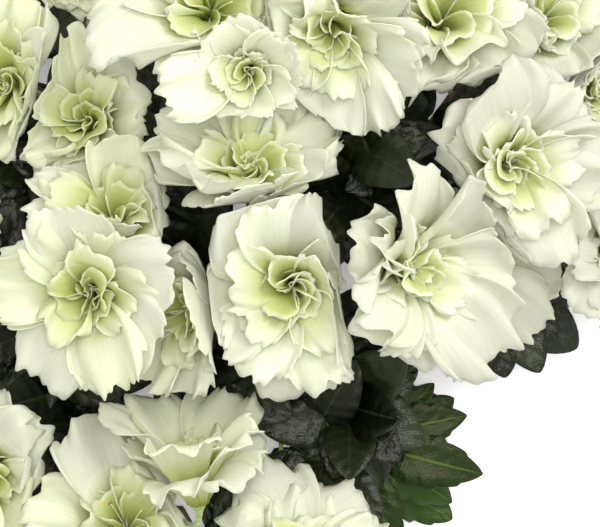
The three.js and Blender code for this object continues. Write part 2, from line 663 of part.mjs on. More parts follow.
const TWIG_SHARES = [0.5, 0.25, 0.25]; // of the shoot's leaves, for the leader and the side twigs
for (const [name, shoot] of Object.entries(SHOOTS)) {
  const random = randomFrom(shoot.seed);
  const blockers = Object.values(solids);
  const twigs = twigsOf(shoot);
  const woody = twigs.map((twig) =>
    solidFrom(limb(twig, TWIG_RADII, 3, 2)).subtract(stalkSpaces),
  );
  let whole = woody[0];
  twigs.forEach((twig, t) => {
    if (t > 0) {
      if (blockers.some((other) => touches(woody[t], other))) return;
      whole = whole.add(woody[t]);
    }
    for (const leaf of leavesOn(twig, shoot, Math.round(shoot.leaves * TWIG_SHARES[t]), random)) {
      const blade = leafSolid(leaf);
      const blocked = touches(blade, stalkSpaces) || blockers.some((other) => touches(blade, other));
      if (!blocked) whole = whole.add(blade);
    }
  });
  for (const other of blockers.filter((solid) => touches(whole, solid))) whole = whole.subtract(other);
  solids[name] = finished(whole);
}

// The finished branch

const bark = new THREE.MeshStandardMaterial({ color: 0x6b5440, roughness: 0.85 });
const greenwood = new THREE.MeshStandardMaterial({ color: 0x7d7a4a, roughness: 0.7 });
const petalWhite = new THREE.MeshStandardMaterial({ color: 0xf0f3dc, roughness: 0.55 });
const leafGreen = new THREE.MeshStandardMaterial({ color: 0x1f2a1a, roughness: 0.35 });

function materialOf(name) {
  if (name === "main_stem") return bark;
  if (name in BOUGHS) return greenwood;
  return name in SHOOTS ? leafGreen : petalWhite;
}

const branch = new THREE.Group();
branch.position.set(-BOX_CENTRE[0], -BOX_CENTRE[1], 0);
for (const [name, solid] of Object.entries(solids)) {
  const mesh = new THREE.Mesh(geometryFrom(solid), materialOf(name));
  mesh.name = name;
  branch.add(mesh);
}

export default branch;
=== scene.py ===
# A flowering branch of a white double azalea, cut from its shrub and laid on its side under a camera that
# looks straight down. Lengths in the tables are millimetres in the frame that the branch is drawn in, and
# placed() turns them to metres in the model's own frame, with +Z up and the branch lying on Z = 0.
import math

import bmesh
import bpy
import numpy as np
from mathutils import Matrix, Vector
from mathutils.bvhtree import BVHTree


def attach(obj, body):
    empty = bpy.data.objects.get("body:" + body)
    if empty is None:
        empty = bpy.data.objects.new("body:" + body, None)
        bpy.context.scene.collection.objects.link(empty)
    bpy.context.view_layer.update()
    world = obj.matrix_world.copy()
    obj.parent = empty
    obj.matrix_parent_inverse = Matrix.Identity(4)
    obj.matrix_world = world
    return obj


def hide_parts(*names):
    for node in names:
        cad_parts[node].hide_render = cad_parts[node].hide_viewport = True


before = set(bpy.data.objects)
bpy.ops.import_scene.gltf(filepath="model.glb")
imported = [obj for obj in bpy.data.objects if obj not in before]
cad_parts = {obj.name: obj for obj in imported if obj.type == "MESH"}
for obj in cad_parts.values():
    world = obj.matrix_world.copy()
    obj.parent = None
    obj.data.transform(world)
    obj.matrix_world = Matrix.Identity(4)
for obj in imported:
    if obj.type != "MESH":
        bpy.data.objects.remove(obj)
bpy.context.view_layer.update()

# Main stem and boughs
# The woody stem comes in from its cut at the lower left and forks into thirteen young boughs. Azalea bark is
# thin and grey-brown with fine lengthwise ridges, and each old leaf has left a small raised scar on it.
MM = 0.001
BOX_CENTRE = np.array([-6.1, -6.4, 0.0])
UP = np.array([0.0, 0.0, 1.0])
STEM = [(-116, -128, 4.5), (-68, -86, 4.5), (2, -14, 20), (66.8, 75.7, 25)]
STEM_RADII = (4.5, 1.7)
BOUGH_RADII = (2.0, 1.2)
BOUGHS = {
    "bough_lower_left": (0.12, (-104, -70, 20)),
    "bough_bottom_left": (0.2, (-44, -92, 24)),
    "bough_left": (0.3, (-86, -20, 26)),
    "bough_bottom": (0.33, (-4, -60, 24)),
    "bough_far_left": (0.42, (-97, 65, 22)),
    "bough_bottom_right": (0.45, (15, -60, 14)),
    "bough_upper_left": (0.5, (-68, 31, 24)),
    "bough_right_fringe": (0.55, (68, 1, 14)),
    "bough_centre": (0.62, (-25, 14, 30)),
    "bough_right": (0.7, (58, 18, 22)),
    "bough_top_left": (0.74, (-28, 74, 26)),
    "bough_far_right": (0.82, (100, 44, 20)),
    "bough_top": (0.86, (18, 61, 28)),
}
BOUGH_TURN = 0.55
BEND_REACH = 0.45
NEARBY = 1e-4
GOLDEN_ANGLE = math.radians(137.5)
RIDGE_HEIGHT = 0.16
RIDGE_SPACING = 1.1
SCAR_SPACING = 9.0
SCAR_HEIGHT = 0.35
SCAR_SHARPNESS = 5
# Millimetres along a limb in which each part of its bark's pattern turns through a radian.
SLOW_WAVER = 7.3
QUICK_WAVER = 2.9
RIDGE_FADE = 4.1
KNOB_RUN = 3.3
SWELLING_RUN = 11


def placed(points):
    """Drawn millimetres to metres in the model's frame."""
    return (np.asarray(points, float) - BOX_CENTRE) * MM


def between(ends, share):
    return ends[0] + (ends[1] - ends[0]) * share


def unit(vectors):
    vectors = np.asarray(vectors, float)
    return vectors / np.linalg.norm(vectors, axis=-1, keepdims=True)


def bezier(controls, shares):
    """Points on a Bezier curve at shares of its run."""
    shares = np.asarray(shares, float).reshape(-1, 1)
    rows = [np.asarray(control, float).reshape(1, 3) for control in controls]
    while len(rows) > 1:
        rows = [a + (b - a) * shares for a, b in zip(rows, rows[1:])]
    return rows[0]


def tangent(controls, share):
    around = bezier(controls, [share - NEARBY, share + NEARBY])
    return unit(around[1] - around[0])


def tube_pattern(sides, steps):
    """A closed tube of radius 1 whose z runs from 0 to 1, as corners and faces."""
    bm = bmesh.new()
    bmesh.ops.create_cone(bm, cap_ends=True, segments=sides, radius1=1, radius2=1, depth=1)
    upright = [edge for edge in bm.edges if abs(edge.verts[0].co.z - edge.verts[1].co.z) > 0.5]
    bmesh.ops.subdivide_edges(bm, edges=upright, cuts=steps - 1, use_grid_fill=True)
    bmesh.ops.translate(bm, verts=bm.verts, vec=(0, 0, 0.5))
    return pattern_of(bm)


def pattern_of(bm):
    bm.verts.index_update()
    corners = np.array([vert.co for vert in bm.verts])
    faces = [[vert.index for vert in face.verts] for face in bm.faces]
    bm.free()
    return corners, faces


def new_object(name, data):
    thing = bpy.data.objects.new(name, data)
    bpy.context.scene.collection.objects.link(thing)
    return thing


def joined(name, corners, faces, attributes=None):
    """One object of many copies of a pattern. corners holds the points of each copy."""
    copies, count, _ = corners.shape
    sizes = np.tile([len(face) for face in faces], copies)
    loops = np.concatenate(faces)
    loops = (loops + np.arange(copies).reshape(-1, 1) * count).ravel()
    mesh = bpy.data.meshes.new(name)
    mesh.vertices.add(copies * count)
    mesh.vertices.foreach_set("co", placed(corners).ravel())
    mesh.loops.add(len(loops))
    mesh.loops.foreach_set("vertex_index", loops)
    mesh.polygons.add(len(sizes))
    mesh.polygons.foreach_set("loop_start", np.cumsum(sizes) - sizes)
    mesh.update(calc_edges=True)
    mesh.shade_smooth()
    for label, values in (attributes or {}).items():
        layer = mesh.attributes.new(label, "FLOAT", "POINT")
        layer.data.foreach_set("value", np.asarray(values, np.float32).ravel())
    return new_object(name, mesh)


def tube_points(pattern, controls, radii, grow=None):
    """A tube pattern's corners laid along a curve. grow adds to the radius by angle and distance."""
    corners = pattern[0]
    levels, level_of = np.unique(np.round(corners[:, 2], 5), return_inverse=True)
    middles = bezier(controls, levels)
    ahead = unit(np.gradient(middles, axis=0))
    first = np.cross(UP, ahead[0])
    sideways = []
    for direction in ahead:
        first = unit(first - direction * np.dot(first, direction))
        sideways.append(first)
    sideways = np.array(sideways)[level_of]
    upward = np.cross(ahead[level_of], sideways)
    gone = np.concatenate([[0], np.cumsum(np.linalg.norm(np.diff(middles, axis=0), axis=1))])[level_of]
    radius = between(radii, corners[:, 2])
    if grow:
        radius = radius + grow(np.arctan2(corners[:, 1], corners[:, 0]), gone, radius)
    offset = sideways * corners[:, :1] + upward * corners[:, 1:2]
    return middles[level_of] + offset * radius[:, None]


def bark(angle, gone, radius):
    """Lengthwise ridges that waver and fade in and out, low knobs, and the scars of fallen leaves."""
    ridges = np.round(2 * math.pi * radius.mean() / RIDGE_SPACING)
    waver = 0.5 * np.sin(gone / SLOW_WAVER) + 0.35 * np.sin(gone / QUICK_WAVER + 1.3 * np.cos(angle))
    ridge = np.sin(ridges * angle + waver) * (0.6 + 0.4 * np.sin(gone / RIDGE_FADE + 2 * angle))
    knobs = 0.5 * np.sin(gone / KNOB_RUN + 2 * np.sin(angle)) + 0.5 * np.sin(2 * angle + gone / SWELLING_RUN)
    turn = np.round(gone / SCAR_SPACING) * GOLDEN_ANGLE
    near_scar = np.cos(angle - turn) - 1 - (gone % SCAR_SPACING - SCAR_SPACING / 2) ** 2 / 3
    return RIDGE_HEIGHT * (ridge + knobs) + SCAR_HEIGHT * np.exp(SCAR_SHARPNESS * near_scar)


def bent(start, heading, end):
    """The controls of a curve that leaves start along heading and ends at end."""
    start, end = np.asarray(start, float), np.asarray(end, float)
    middle = start + heading * np.linalg.norm(end - start) * BEND_REACH
    middle[2] = (start[2] + end[2]) / 2
    return [start, middle, end]


def linear(code):
    """An sRGB hex colour as linear RGBA."""
    parts = [int(code[i : i + 2], 16) / 255 for i in (1, 3, 5)]
    return [p / 12.92 if p <= 0.04045 else ((p + 0.055) / 1.055) ** 2.4 for p in parts] + [1]


def add(material, kind, inputs=None, **settings):
    """Adds a node: its settings, then its inputs as values or as sockets to link from."""
    tree = material.node_tree
    node = tree.nodes.new(kind)
    for name, value in settings.items():
        setattr(node, name, value)
    for name, value in (inputs or {}).items():
        if isinstance(value, bpy.types.NodeSocket):
            tree.links.new(value, node.inputs[name])
        else:
            node.inputs[name].default_value = value
    return node


def ramp(material, factor, stops):
    """A colour ramp from (place, hex) stops."""
    node = add(material, "ShaderNodeValToRGB", {"Fac": factor})
    points = node.color_ramp.elements
    while len(points) < len(stops):
        points.new(0.5)
    for point, (place, code) in zip(points, stops):
        point.position = place
        point.color = linear(code)
    return node.outputs["Color"]


def noise(material, scale, detail, place=None):
    """Soft random patches, from 0 to 1. The scale is to a metre where no other place is given."""
    place = place or add(material, "ShaderNodeTexCoord").outputs["Object"]
    inputs = {"Vector": place, "Scale": scale, "Detail": detail}
    return add(material, "ShaderNodeTexNoise", inputs).outputs["Fac"]


def bumped(material, height, strength, distance):
    inputs = {"Height": height, "Strength": strength, "Distance": distance}
    return add(material, "ShaderNodeBump", inputs).outputs["Normal"]


def surface(material, skin):
    return add(material, "ShaderNodeBsdfPrincipled", skin).outputs["BSDF"]


def new_material(name):
    material = bpy.data.materials.new(name)
    material.use_nodes = True
    material.node_tree.nodes.clear()
    return material


def finish_material(material, shader):
    add(material, "ShaderNodeOutputMaterial", {"Surface": shader})
    return material


def bark_material(name, stops, roughness):
    """Young bark: mottled in patches a few millimetres long, matt, with a fine grain."""
    material = new_material(name)
    colour = ramp(material, noise(material, scale=260, detail=6), stops)
    normal = bumped(material, noise(material, scale=1500, detail=3), strength=0.35, distance=0.0002)
    skin = {"Base Color": colour, "Roughness": roughness, "Normal": normal}
    return finish_material(material, surface(material, skin))


def dress(piece, material, node):
    """Gives a piece its material, says what it rides on and hides the part that it stands for."""
    piece.data.materials.append(material)
    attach(piece, "root")
    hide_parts(node)


limbs = {"main_stem": STEM}
for name, (share, tip) in BOUGHS.items():
    start = bezier(STEM, [share])[0]
    heading = tangent(STEM, share)
    heading = heading + (unit(np.array(tip) - start) - heading) * BOUGH_TURN
    limbs[name] = bent(start, heading, tip)

grey_bark = bark_material("azalea_stem_bark", [(0.3, "#3B2E25"), (0.5, "#6B5643"), (0.72, "#948070")], 0.85)
green_bark = bark_material("young_bough_bark", [(0.3, "#38371F"), (0.55, "#5C5636"), (0.75, "#7D7250")], 0.7)

stem_pattern = tube_pattern(sides=40, steps=260)
bough_pattern = tube_pattern(sides=22, steps=90)
for name, controls in limbs.items():
    is_stem = name == "main_stem"
    pattern = stem_pattern if is_stem else bough_pattern
    radii = STEM_RADII if is_stem else BOUGH_RADII
    piece = joined(name + "_bark", tube_points(pattern, controls, radii, bark)[None], pattern[1])
    dress(piece, grey_bark if is_stem else green_bark, name)

# Flowers
# Double blooms. Five to seven broad outer petals lie over a ring of back petals, four more stand inside them
# and four to ten narrower ones fill the heart. They are thin, soft and faintly see-through, lime green where
# they meet and cream towards the rim.

# face is the middle of the open flower, which leans towards an angle and grows from its bough at a share of
# its run. wide holds outer petals with a shape of their own: angle, length, half width and opening. outer is
# the number of outer petals where it isn't five, and full the share of the radius that all others go by.
# heart is the number of rings in the heart where it isn't three.
FLOWERS = [
    {"face": (48, -3, 84), "radius": 36, "lean": 44, "toward": -8, "bough": "bough_right", "at": 0.9,
     "seed": 11, "outer": 7, "full": 0.75,
     "wide": [(102, 46, 22, 90), (52, 54, 27, 86), (-2, 50, 27, 82), (-54, 56, 27, 86), (-110, 36, 16, 86),
              (148, 34, 13, 74), (206, 42, 20, 84)]},
    {"face": (-3, -10, 84), "radius": 35, "lean": 10, "toward": 270, "bough": "bough_centre", "at": 0.93,
     "seed": 22, "outer": 6,
     "wide": [(98, 46, 25, 86), (38, 32, 16, 84), (-16, 44, 22, 92), (-66, 47, 20, 96), (-118, 44, 22, 94),
              (190, 34, 20, 88)]},
    {"face": (-76, -10, 86), "radius": 29, "lean": 12, "toward": 200, "bough": "bough_left", "at": 0.92,
     "seed": 33, "outer": 6,
     "wide": [(178, 44, 16, 92), (-128, 22, 12, 80), (-66, 46, 20, 94), (-8, 34, 18, 88), (62, 32, 16, 82),
              (125, 38, 18, 88)]},
    {"face": (-68, 20, 76), "radius": 28, "lean": 28, "toward": 100, "bough": "bough_upper_left", "at": 0.88,
     "seed": 44, "heart": 1, "wide": [(78, 42, 17, 78), (150, 34, 14, 82), (-25, 46, 22, 90)]},
    {"face": (-79, 53, 62), "radius": 26, "lean": 20, "toward": 150, "bough": "bough_upper_left", "at": 0.97,
     "seed": 55, "heart": 2, "wide": [(92, 44, 11, 84)]},
    {"face": (-109, 66, 58), "radius": 28, "lean": 24, "toward": 170, "bough": "bough_far_left", "at": 0.95,
     "seed": 66, "wide": [(74, 40, 14, 86)]},
    {"face": (-30, 93, 80), "radius": 33, "lean": 16, "toward": 60, "bough": "bough_top_left", "at": 0.95,
     "seed": 77, "heart": 1, "wide": [(217, 64, 30, 98), (300, 36, 20, 92)]},
    {"face": (-19, 66, 88), "radius": 20, "lean": 16, "toward": 250, "bough": "bough_top_left", "at": 0.86,
     "seed": 88, "wide": [(-72, 28, 14, 88), (190, 42, 18, 92)]},
    {"face": (12, 78, 82), "radius": 31, "lean": 28, "toward": 275, "bough": "bough_top", "at": 0.9,
     "seed": 99, "heart": 2, "wide": [(-94, 54, 16, 88), (-62, 50, 16, 88), (-10, 42, 20, 92)]},
    {"face": (53, 90, 72), "radius": 34, "lean": 16, "toward": 60, "bough": "main_stem", "at": 0.95,
     "seed": 110, "heart": 1, "wide": [(205, 56, 30, 96), (-112, 44, 22, 92), (-58, 42, 20, 92)]},
    {"face": (77, 33, 78), "radius": 31, "lean": 20, "toward": 320, "bough": "bough_right", "at": 0.72,
     "seed": 121,
     "wide": [(114, 56, 32, 98), (-66, 46, 24, 94), (176, 42, 22, 94), (-6, 40, 22, 94), (52, 42, 22, 94)]},
    {"face": (91, 90, 58), "radius": 29, "lean": 20, "toward": 30, "bough": "main_stem", "at": 0.985,
     "seed": 132, "heart": 1, "wide": [(-98, 48, 24, 94), (-152, 44, 20, 92)]},
    {"face": (111, 62, 54), "radius": 27, "lean": 24, "toward": 0, "bough": "bough_far_right", "at": 0.96,
     "seed": 143, "wide": [(-112, 42, 16, 92), (180, 44, 22, 94)]},
    {"face": (64, -3, 46), "radius": 32, "lean": 28, "toward": -38, "bough": "bough_right", "at": 0.97,
     "seed": 154, "full": 0.8, "wide": [(0, 48, 26, 98), (-45, 46, 22, 98)]},
    {"face": (-39, -67, 66), "radius": 27, "lean": 70, "toward": 97, "bough": "bough_bottom_left", "at": 0.9,
     "seed": 165, "full": 0.9,
     "wide": [(-90, 44, 22, 42), (-20, 40, 16, 54), (185, 54, 20, 84), (60, 44, 20, 70), (130, 44, 20, 76)]},
    {"face": (-62, -90, 70), "radius": 31, "lean": 30, "toward": 92, "bough": "bough_bottom_left", "at": 0.78,
     "seed": 176, "heart": 1, "wide": [(175, 46, 20, 92), (112, 52, 24, 92), (48, 40, 18, 90)]},
    {"face": (0, -108, 66), "radius": 35, "lean": 30, "toward": 82, "bough": "bough_bottom", "at": 0.95,
     "seed": 187, "heart": 2, "wide": [(22, 42, 20, 94), (148, 50, 22, 92), (85, 38, 22, 84)]},
    {"face": (-118, -76, 58), "radius": 28, "lean": 18, "toward": 180, "bough": "bough_lower_left",
     "at": 0.96, "seed": 198, "wide": [(26, 54, 24, 88)]},
    {"face": (-44, -17, 74), "radius": 30, "lean": 36, "toward": 195, "bough": "bough_centre", "at": 0.82,
     "seed": 209, "full": 0.85, "wide": [(150, 40, 13, 92), (198, 42, 15, 92), (250, 42, 15, 90)]},
    {"face": (-18, 39, 78), "radius": 34, "lean": 32, "toward": 95, "bough": "bough_centre", "at": 0.98,
     "seed": 220, "full": 0.9,
     "wide": [(82, 48, 24, 84), (30, 40, 18, 86), (150, 46, 22, 92), (214, 56, 26, 94), (282, 46, 24, 92)]},
    {"face": (119, 5, 46), "radius": 23, "lean": 28, "toward": 0, "bough": "bough_far_right", "at": 0.84,
     "seed": 231, "wide": []},
    {"face": (-132, 14, 50), "radius": 22, "lean": 24, "toward": 180, "bough": "bough_left", "at": 0.97,
     "seed": 242, "wide": []},
    {"face": (-82, 109, 50), "radius": 22, "lean": 24, "toward": 110, "bough": "bough_far_left", "at": 0.86,
     "seed": 253, "wide": []},
    {"face": (-97, -104, 46), "radius": 22, "lean": 28, "toward": 230, "bough": "bough_lower_left",
     "at": 0.84, "seed": 264, "wide": []},
]
# Lengths are shares of the flower's radius and angles are degrees, openings from the axis. turn is where a
# ring starts and chance how far a petal strays from its even place. raised lifts a petal's sides, and tuck
# turns one side up and the other under its neighbour. wrap is how many even parts a petal may reach round
# the axis, at its root and further up. ruffle is how high its rim's waves stand, frill sets how many there
# are, and flare how far the rim turns out. crumple is how deep its folds are, lime how far up its green
# reaches and pale the green left at its rim.
RINGS = [
    {"petals": 5, "rootRadius": 0.145, "rootOpening": 14, "opening": 92, "reach": 1, "halfWidth": 0.88,
     "raised": 0.06, "tuck": 0.115, "ruffle": 0.055, "wrap": (0.75, 1.45), "turn": 0, "chance": 0.3,
     "lime": 0.6, "crumple": 0.035, "frill": 0.48, "flare": 14, "pale": 0.1},
    {"petals": 4, "rootRadius": 0.08, "rootOpening": 8, "opening": 58, "reach": 0.8, "halfWidth": 0.6,
     "raised": 0.07, "tuck": 0.05, "ruffle": 0.055, "wrap": (0.7, 1.15), "turn": 40, "chance": 0.55,
     "lime": 0.95, "crumple": 0.05, "frill": 0.32, "flare": 22, "pale": 0.12},
]
# The back petals keep little green, so their rims take the ramp's greyer lowest stop: painted shade for
# petals lying underneath.
BACK_RINGS = [
    {"petals": 5, "rootRadius": 0.15, "rootOpening": 16, "opening": 99, "reach": 1.03, "halfWidth": 0.84,
     "raised": 0.03, "tuck": 0.09, "ruffle": 0.05, "wrap": (0.75, 1.4), "turn": 36, "chance": 0.3,
     "lime": 0.4, "crumple": 0.03, "frill": 0.44, "flare": 12, "pale": 0.04},
]
HEART_RINGS = [
    {"petals": 4, "rootRadius": 0.055, "rootOpening": 4, "opening": 42, "reach": 0.68, "halfWidth": 0.56,
     "raised": 0.05, "tuck": 0.09, "ruffle": 0.034, "wrap": (0.85, 1.5), "turn": 12, "chance": 0.5,
     "lime": 1.3, "crumple": 0.022, "frill": 0.3, "flare": 20, "pale": 0.14},
    {"petals": 3, "rootRadius": 0.04, "rootOpening": 3, "opening": 26, "reach": 0.56, "halfWidth": 0.46,
     "raised": 0.04, "tuck": 0.09, "ruffle": 0.028, "wrap": (0.85, 1.5), "turn": 70, "chance": 0.5,
     "lime": 1.6, "crumple": 0.018, "frill": 0.26, "flare": 16, "pale": 0.14},
    {"petals": 3, "rootRadius": 0.025, "rootOpening": 2, "opening": 13, "reach": 0.44, "halfWidth": 0.3,
     "raised": 0.03, "tuck": 0.08, "ruffle": 0.02, "wrap": (0.85, 1.5), "turn": 20, "chance": 0.4,
     "lime": 2.0, "crumple": 0.015, "frill": 0.24, "flare": 12, "pale": 0.14},
]
# What is added to a flower's seed for its further draws.
HEART_SEED = 1000
FOLD_SEED = 2000
BACK_SEED = 3000
STAMEN_SEED = 4000
# The least of a chance value and what a draw may add to it. Folds are in radians across half a petal.
SLOW_WAVES = (15, 6)
QUICK_WAVES = (37, 8)
WIDTH_CHANCE = (0.9, 0.2)
RAISED_CHANCE = (0.5, 1)
RUFFLE_CHANCE = (0.8, 0.4)
ANY_ANGLE = (0, 6.283)
FOLDS = {
    "broad": (4, 3), "broadPhase": ANY_ANGLE, "narrow": (10, 5), "narrowPhase": ANY_ANGLE,
    "finePhase": ANY_ANGLE, "creases": (4, 2), "creasePhase": ANY_ANGLE, "smallCreasePhase": ANY_ANGLE,
}
LENGTH_CHANCE = 0.7
OPENING_CHANCE = 50
SEED_TURN = 17
# A wide petal longer than SMOOTH_LENGTH has shallower lobes and less green at its rim, which takes it towards
# the ramp's greyer lowest stop, painted shade for a petal lying under others.
SMOOTH_LENGTH = 50
SMOOTH_LOBES = 0.035
SHADED_SMOOTH_PALE = 0.03
FULL_LOBES = 0.055
# The heights of a rim's broad, narrow and fine lobes, and of its slow and quick waves.
LOBE_HEIGHTS = (0.6, 0.35, 0.42)
WAVE_HEIGHTS = (1.9, 0.6)
FINE_LOBES = 2.1
SMALL_CREASES = 1.9
# A petal's width follows this part of a half wave, and ROOT_SHARE of its length is its root.
WIDTH_CURVE = (0.06, 0.66)
ROOT_SHARE = 0.45
RIM_ROUNDING = 0.15
FLARE_DEPTH = 0.2
ROW_CROWDING = 0.35
PETAL_THICKNESS = 0.4
SEE_THROUGH = 0.45
VEIN_STRETCH = (22, 2.5, 1)
VEIN_SHADE = 0.25
# The green at a petal's root, and a rim band where the green is taken off, a painted highlight. The flowers
# further right hold less green.
ROOT_LIME = 0.8
HIGHLIGHT_RIM_START = 0.92
HIGHLIGHT_RIM_WIDTH = 0.08
FADING_DISTANCE = 130
# Walls keep flowers apart that stand close, and petals bend back before they reach one or the floor.
CUP_MIDDLE = 0.4
WALL_REACH = 1.9
WALL_SHARES = (0.25, 0.75)
WALL_SOFTNESS = 4
WALL_GAP = 0.7
WALL_TILT = 0.55
WALL_PASSES = 2
FULL_TILT_DISTANCE = 60
FACING_WALL = 0.2
LEAST_ROOM = 0.5
OVER_FLOOR = 0.8
FLOOR_BEND = 5
SAME_SIDE = math.cos(math.radians(50))
CLEARANCE = math.radians(10)
INNER_CLEARANCE = math.radians(20)
# An even outer petal's length and its flower's depth, for a radius of 1.
ROOT_OPENING, FULL_OPENING = [math.radians(RINGS[0][key]) for key in ("rootOpening", "opening")]
FULL_SWING = FULL_OPENING - ROOT_OPENING
PETAL_LENGTH = FULL_SWING / (math.cos(ROOT_OPENING) - math.cos(FULL_OPENING))
DEPTH = PETAL_LENGTH * (math.sin(FULL_OPENING) - math.sin(ROOT_OPENING)) / FULL_SWING


def random_from(seed):
    """The same draws come back for the same seed."""
    state = (seed * 7919 + 104729) & 0xFFFFFFFF

    def draw():
        nonlocal state
        state = (state * 1664525 + 1013904223) & 0xFFFFFFFF
        return state / 4294967296

    draw()
    draw()
    return draw


def vary(draw, least, spread):
    return least + spread * draw()


def nearest_whole(value):
    return math.floor(value + 0.5)


def set_up(flower, number):
    """Adds a flower's name, what its row leaves out, its axes, base and middle."""
    flower["name"] = f"flower_{number:02d}"
    flower.setdefault("outer", RINGS[0]["petals"])
    flower.setdefault("full", 1)
    flower.setdefault("heart", len(HEART_RINGS))
    lean, toward = math.radians(flower["lean"]), math.radians(flower["toward"])
    axis = np.array([math.sin(lean) * math.cos(toward), math.sin(lean) * math.sin(toward), math.cos(lean)])
    right = unit(np.array([1.0, 0, 0]) - axis * axis[0])
    depth = flower["radius"] * DEPTH
    face = np.array(flower["face"], float)
    flower.update(axis=axis, right=right, ahead=np.cross(axis, right))
    flower.update(base=face - axis * depth, centre=face - axis * CUP_MIDDLE * depth)


def walls_of(flower):
    """The flat walls between a flower and those close to it, which lean out over the lower one."""
    walls = []
    for other in FLOWERS:
        if other is flower:
            continue
        apart = other["centre"] - flower["centre"]
        distance = np.linalg.norm(apart)
        tilt = WALL_TILT * min(distance / FULL_TILT_DISTANCE, 1)
        outward = -1 if flower["centre"][2] > other["centre"][2] else 1
        normal = unit(apart / distance + UP * outward * tilt)
        share = 0.5 + (flower["radius"] ** 2 - other["radius"] ** 2) / (2 * distance**2)
        point = flower["centre"] + min(max(share, WALL_SHARES[0]), WALL_SHARES[1]) * apart
        if distance < WALL_REACH * (flower["radius"] + other["radius"]):
            walls.append((normal, normal @ point))
    return walls


def keep_inside(points, walls):
    """Bends points back from the walls."""
    span = WALL_SOFTNESS - WALL_GAP
    for _ in range(WALL_PASSES):
        for normal, offset in walls:
            inside = offset - points @ normal
            kept = WALL_GAP + span * np.exp(np.minimum(inside - WALL_SOFTNESS, 0) / span)
            shift = np.where(inside < WALL_SOFTNESS, inside - kept, 0)
            points = points + shift[..., None] * normal
    return points


def over_floor(points):
    """Bends points up from the floor."""
    span = FLOOR_BEND - OVER_FLOOR
    height = points[..., 2]
    raised = OVER_FLOOR + span * np.exp(np.minimum(height - FLOOR_BEND, 0) / span)
    points[..., 2] = np.where(height < FLOOR_BEND, raised, height)
    return points


def room_towards(flower, angle):
    """The share of a flower's radius that is free of walls towards an angle."""
    heading = flower["right"] * math.cos(angle) + flower["ahead"] * math.sin(angle)
    room = flower["radius"]
    for normal, offset in flower["walls"]:
        slope = normal @ heading
        if slope > FACING_WALL:
            room = min(room, (offset - normal @ flower["centre"]) / slope)
    return max(room / flower["radius"], LEAST_ROOM)


def petals_of(flower, rings, seed):
    """Every petal of some rings, with its own chance variations."""
    radius = flower["radius"]
    draw = random_from(seed)
    petals = []
    for ring in rings:
        waves = [nearest_whole(vary(draw, *SLOW_WAVES)), nearest_whole(vary(draw, *QUICK_WAVES))]
        # The solids' rims take two draws here. They are passed over, so that the petals come out the same.
        draw()
        draw()
        is_outer = ring is RINGS[0]
        count = flower["outer"] if is_outer else ring["petals"]
        size = radius if is_outer else radius * flower["full"]
        for i in range(count):
            place = 360 / count * (i + ring["chance"] * (draw() - 0.5))
            longer = LENGTH_CHANCE * ring["chance"] * (draw() - 0.5)
            petals.append({
                "ring": ring,
                "angle": math.radians((ring["turn"] + flower["seed"] * SEED_TURN + place) % 360),
                "length": size * PETAL_LENGTH * ring["reach"] * (1 + longer),
                "halfWidth": size * ring["halfWidth"] * vary(draw, *WIDTH_CHANCE),
                "rootOpening": math.radians(ring["rootOpening"]),
                "opening": math.radians(ring["opening"] + OPENING_CHANCE * ring["chance"] * (draw() - 0.5)),
                "raised": radius * ring["raised"] * vary(draw, *RAISED_CHANCE),
                "ruffle": radius * ring["ruffle"] * vary(draw, *RUFFLE_CHANCE),
                "waves": waves,
                "smooth": False,
            })
    return petals


def shape_wide_petals(flower, petals):
    """Gives a flower's outer petals that reach further their own shapes."""
    free = [petal for petal in petals if petal["ring"] is RINGS[0]]
    for angle, length, half_width, opening in flower["wide"]:
        nearest = min(free, key=lambda petal: abs(math.sin((petal["angle"] - math.radians(angle)) / 2)))
        free = [petal for petal in free if petal is not nearest]
        nearest.update(angle=math.radians(angle), length=length, halfWidth=half_width)
        nearest.update(opening=math.radians(opening), smooth=length > SMOOTH_LENGTH)


def give_room(flower, petals):
    """Holds petals more upright, with flatter folds, where a wall is near."""
    for petal in petals:
        room = room_towards(flower, petal["angle"])
        petal["opening"] = petal["rootOpening"] + (petal["opening"] - petal["rootOpening"]) * room
        petal["ease"] = room**2


def nest(inner, outer, clearance):
    """Keeps petals more upright than those outside them on the same side."""
    for petal in inner:
        beside = [other for other in outer if math.cos(petal["angle"] - other["angle"]) > SAME_SIDE]
        limits = [other["opening"] - clearance for other in beside]
        petal["opening"] = min([petal["opening"], *limits])


def lobes_of(folds, across):
    """The lobes of a petal's rim: broad ones, narrow ones, and fine ones that come in groups."""
    broad, narrow, fine = LOBE_HEIGHTS
    lobes = broad * np.sin(folds["broad"] * across + folds["broadPhase"])
    lobes = lobes + narrow * np.sin(folds["narrow"] * across + folds["narrowPhase"])
    grouping = 0.4 + np.sin(3 * across + folds["broadPhase"]) ** 2
    return lobes + fine * np.sin(FINE_LOBES * folds["narrow"] * across + folds["finePhase"]) * grouping


def rim_waves(petal, across, edge):
    """Slow waves round a petal's edge, and quick small ones right at its rim."""
    slow, quick = petal["waves"]
    frill = petal["ring"]["frill"] * across
    wave = WAVE_HEIGHTS[0] * edge**1.4 * np.sin(slow * frill + petal["folds"]["narrowPhase"])
    return wave + WAVE_HEIGHTS[1] * edge**3 * np.sin(quick * frill + petal["folds"]["finePhase"])


def creases_of(folds, depth, across, along):
    """Folds that run up a petal and are deepest past its middle."""
    fold = np.cos(folds["creases"] * across + folds["creasePhase"])
    fold = fold + 0.5 * np.cos(SMALL_CREASES * folds["creases"] * across + folds["smallCreasePhase"])
    return depth * np.sin(math.pi * along**0.8 * 0.75) * fold


